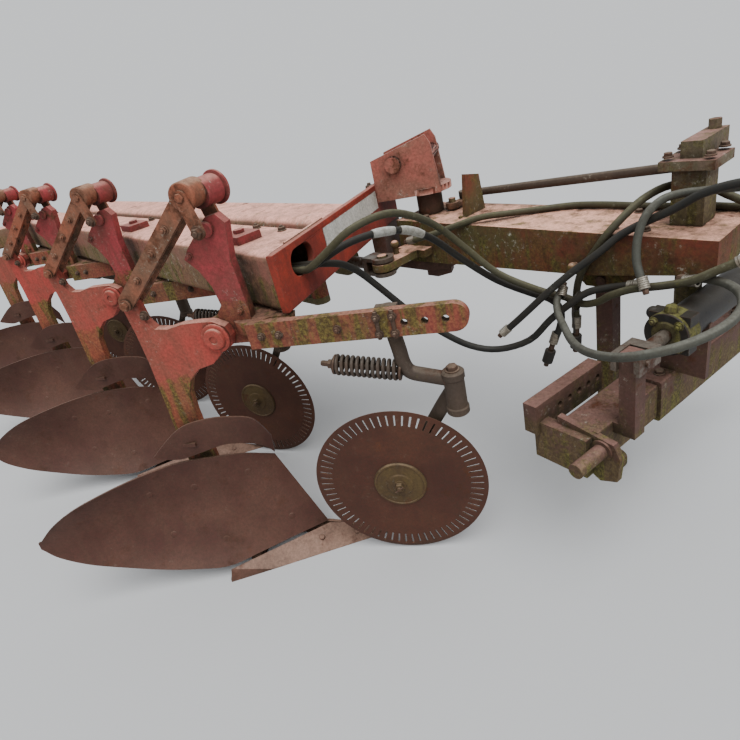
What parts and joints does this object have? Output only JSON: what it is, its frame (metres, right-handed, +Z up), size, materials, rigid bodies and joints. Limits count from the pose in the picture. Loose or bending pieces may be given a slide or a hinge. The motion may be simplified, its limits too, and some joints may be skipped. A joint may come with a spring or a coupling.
{
  "type": "semi-mounted moldboard plough",
  "caption": "Weathered red semi-mounted moldboard plough with adjustable furrow width, sprung auto-reset standards, disc coulters, steered hitch and tail wheel",
  "frame": {"origin": "on the ground below the middle of the whole plough as parked", "axes": "+X the direction of travel, +Y to the left, +Z up"},
  "size_m": [5.3336, 2.2125, 1.197],
  "materials": {
    "red_paint": "faded and chalky with rust, lichen and moss",
    "rust": "brown rust with worn paint and moss",
    "rust_dark": "dark purple-brown rust on soil-polished steel",
    "mossy_paint": "dull olive with moss",
    "dark_paint": "flat dark paint, scuffed",
    "chrome": "plated rod with rust specks",
    "tyre": "old ribbed rubber, dusty",
    "hose": "perished black and olive rubber"
  },
  "bodies": {
    "main_frame": {"main_beam": "red_paint", "brace_tube": "red_paint", "end_plate": "red_paint", "headstock": "red_paint", "hinge_casting": "rust", "width_barrel": "mossy_paint", "tail_arm": "red_paint"},
    "width_rod": {"width_rod": "chrome"},
    "tongue": {"tongue": "red_paint", "hose_upper": "hose", "hose_middle": "hose", "hose_lower": "hose", "hose_loop": "hose", "hose_top": "hose", "hose_feed": "hose", "hose_hung": "hose", "hose_return": "hose"},
    "bell_crank": {"bell_crank": "rust"},
    "steer_rod": {"steer_rod": "rust"},
    "hitch": {"hitch_post": "rust", "hitch_tube": "rust", "hitch_barrel": "dark_paint"},
    "hitch_slide": {"hitch_bar": "rust", "hitch_rod": "chrome"},
    "stand": {"stand_leg": "dark_paint"},
    "parallel_link": {"parallel_bar": "mossy_paint"},
    "tail_head": {"tail_head": "red_paint"},
    "wheel_arm": {"wheel_arm": "red_paint"},
    "tail_barrel": {"tail_barrel": "dark_paint"},
    "tail_piston": {"tail_piston": "chrome"},
    "tail_wheel": {"tail_rim": "red_paint", "tail_tyre": "tyre"},
    "bottom_1": {"bracket_1": "red_paint", "standard_1": "red_paint", "toggle_1": "rust", "moldboard_1": "rust_dark", "share_1": "rust_dark", "coulter_arm_1": "rust"},
    "coulter_1": {"coulter_1": "rust_dark"},
    "bottom_2": {"bracket_2": "red_paint", "standard_2": "red_paint", "toggle_2": "rust", "moldboard_2": "rust_dark", "share_2": "rust_dark", "coulter_arm_2": "rust"},
    "coulter_2": {"coulter_2": "rust_dark"},
    "bottom_3": {"bracket_3": "red_paint", "standard_3": "red_paint", "toggle_3": "rust", "moldboard_3": "rust_dark", "share_3": "rust_dark", "coulter_arm_3": "rust"},
    "coulter_3": {"coulter_3": "rust_dark"},
    "bottom_4": {"bracket_4": "red_paint", "standard_4": "red_paint", "toggle_4": "rust", "moldboard_4": "rust_dark", "share_4": "rust_dark", "coulter_arm_4": "rust"},
    "coulter_4": {"coulter_4": "rust_dark"}
  },
  "joints": [
    {"name": "width_swing", "type": "hinge", "parent": "main_frame", "child": "tongue", "pos_m": [1.50938, -0.03211, 0.78], "axis": [0, 0, 1], "range_deg": [-13, 7], "deforming": ["hose_upper", "hose_middle", "hose_lower", "hose_top"]},
    {"name": "width_slide", "type": "slide", "parent": "main_frame", "child": "width_rod", "axis": [0.83, -0.5577, 0], "range_m": [-0.066, 0.036]},
    {"name": "hitch_steer", "type": "hinge", "parent": "tongue", "child": "hitch", "pos_m": [2.2274, -0.49653, 0.64], "axis": [0, 0, 1], "range_deg": [-35, 35], "deforming": ["hose_loop", "hose_return", "hose_hung"]},
    {"name": "bell_crank_turn", "type": "hinge", "parent": "tongue", "child": "bell_crank", "pos_m": [1.58836, -0.04904, 0.863], "axis": [0, 0, 1], "range_deg": [-35, 35]},
    {"name": "steer_rod_turn", "type": "hinge", "parent": "hitch", "child": "steer_rod", "pos_m": [2.26924, -0.43428, 0.944], "axis": [0, 0, 1], "range_deg": [-35, 35]},
    {"name": "hitch_shift", "type": "slide", "parent": "hitch", "child": "hitch_slide", "axis": [0.6428, 0.766, 0], "range_m": [-0.14, 0.06]},
    {"name": "stand_fold", "type": "hinge", "parent": "tongue", "child": "stand", "pos_m": [2.04556, -0.39241, 0.674], "axis": [0.5577, 0.83, 0], "range_deg": [0, 75]},
    {"name": "bottom_1_turn", "type": "hinge", "parent": "main_frame", "child": "bottom_1", "pos_m": [1.058, -0.59625, 0.81], "axis": [0, 0, 1], "range_deg": [-13, 7]},
    {"name": "coulter_1_spin", "type": "hinge", "parent": "bottom_1", "child": "coulter_1", "pos_m": [1.42794, -0.80343, 0.262], "axis": [-0.0698, 0.9976, 0], "continuous": true},
    {"name": "bottom_2_turn", "type": "hinge", "parent": "main_frame", "child": "bottom_2", "pos_m": [0.3583, -0.12607, 0.81], "axis": [0, 0, 1], "range_deg": [-13, 7]},
    {"name": "coulter_2_spin", "type": "hinge", "parent": "bottom_2", "child": "coulter_2", "pos_m": [0.73139, -0.2909, 0.262], "axis": [0.1392, 0.9903, 0], "continuous": true},
    {"name": "bottom_3_turn", "type": "hinge", "parent": "main_frame", "child": "bottom_3", "pos_m": [-0.3414, 0.34411, 0.81], "axis": [0, 0, 1], "range_deg": [-13, 7]},
    {"name": "coulter_3_spin", "type": "hinge", "parent": "bottom_3", "child": "coulter_3", "pos_m": [0.02846, 0.14047, 0.262], "axis": [-0.0523, 0.9986, 0], "continuous": true},
    {"name": "bottom_4_turn", "type": "hinge", "parent": "main_frame", "child": "bottom_4", "pos_m": [-1.0411, 0.81429, 0.81], "axis": [0, 0, 1], "range_deg": [-13, 7]},
    {"name": "coulter_4_spin", "type": "hinge", "parent": "bottom_4", "child": "coulter_4", "pos_m": [-0.67005, 0.63543, 0.262], "axis": [0.0698, 0.9976, 0], "continuous": true},
    {"name": "parallel_bar_shift", "type": "hinge", "parent": "bottom_1", "child": "parallel_link", "pos_m": [1.15587, -0.37889, 0.701], "axis": [0, 0, 1], "range_deg": [-7, 13]},
    {"name": "tail_caster", "type": "hinge", "parent": "main_frame", "child": "tail_head", "pos_m": [-1.77697, 0.57264, 0.9], "axis": [0, 0, 1], "range_deg": [-13, 7]},
    {"name": "tail_lift", "type": "hinge", "parent": "tail_head", "child": "wheel_arm", "pos_m": [-1.81697, 0.57264, 0.62], "axis": [0, 1, 0], "range_deg": [-40, 6]},
    {"name": "tail_spin", "type": "hinge", "parent": "wheel_arm", "child": "tail_wheel", "pos_m": [-2.33697, 0.57264, 0.33], "axis": [0, 1, 0], "continuous": true},
    {"name": "tail_barrel_tilt", "type": "hinge", "parent": "tail_head", "child": "tail_barrel", "pos_m": [-1.92697, 0.74464, 1.01], "axis": [0, 1, 0], "range_deg": [-11, 1.7]},
    {"name": "tail_piston_slide", "type": "slide", "parent": "tail_barrel", "child": "tail_piston", "axis": [-0.2169, 0, -0.9762], "range_m": [-0.019, 0.117]}
  ],
  "couplings": [
    {"joint": "width_slide", "follows": "width_swing", "m_per_rad": 0.279},
    {"joint": "bell_crank_turn", "follows": "hitch_steer", "ratio": 1},
    {"joint": "steer_rod_turn", "follows": "hitch_steer", "ratio": -1},
    {"joint": "bottom_1_turn", "follows": "width_swing", "ratio": 1},
    {"joint": "bottom_2_turn", "follows": "width_swing", "ratio": 1},
    {"joint": "bottom_3_turn", "follows": "width_swing", "ratio": 1},
    {"joint": "bottom_4_turn", "follows": "width_swing", "ratio": 1},
    {"joint": "parallel_bar_shift", "follows": "width_swing", "ratio": -1},
    {"joint": "tail_caster", "follows": "width_swing", "ratio": 1},
    {"joint": "tail_barrel_tilt", "follows": "tail_lift", "ratio": 0.27},
    {"joint": "tail_piston_slide", "follows": "tail_lift", "m_per_rad": -0.165}
  ]
}
